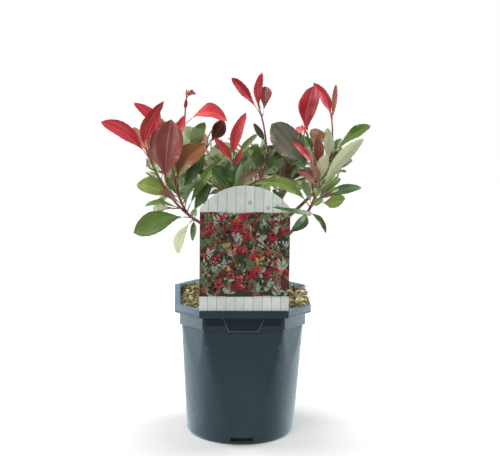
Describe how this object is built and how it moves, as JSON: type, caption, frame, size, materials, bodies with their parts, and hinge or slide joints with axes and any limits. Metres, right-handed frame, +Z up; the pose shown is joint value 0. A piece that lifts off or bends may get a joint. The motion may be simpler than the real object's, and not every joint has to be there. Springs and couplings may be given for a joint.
{
  "type": "potted red tip photinia",
  "caption": "Young red tip photinia shrub, its upper shoots and leaves red, in an anthracite nursery pot with a square top and an arched plant label.",
  "frame": {"origin": "centre of the pot's flat underside", "axes": "+Z up; the label faces -Y and +X is to the right when it is looked at"},
  "size_m": [0.339, 0.2492, 0.463],
  "materials": {
    "pot_plastic": "satin gloss, anthracite",
    "compost": "moist compost under a mulch of husk chips",
    "label": "printed plastic card",
    "bark": "smooth young bark",
    "foliage": "leathery leaves, green with red young shoots"
  },
  "bodies": {
    "root": {"nursery_pot": "pot_plastic", "compost": "compost", "label_card": "label", "main_stem": "bark", "bough_left": "bark", "bough_upper_left": "bark", "bough_front": "bark", "bough_top": "bark", "bough_upper_right": "bark", "bough_right": "bark", "bough_far_right": "bark", "bough_back_left": "bark", "bough_back": "bark", "bough_back_right": "bark", "foliage_left": "foliage", "foliage_upper_left": "foliage", "foliage_front": "foliage", "foliage_top": "foliage", "foliage_upper_right": "foliage", "foliage_right": "foliage", "foliage_far_right": "foliage", "foliage_back_left": "foliage", "foliage_back": "foliage", "foliage_back_right": "foliage"}
  },
  "joints": []
}
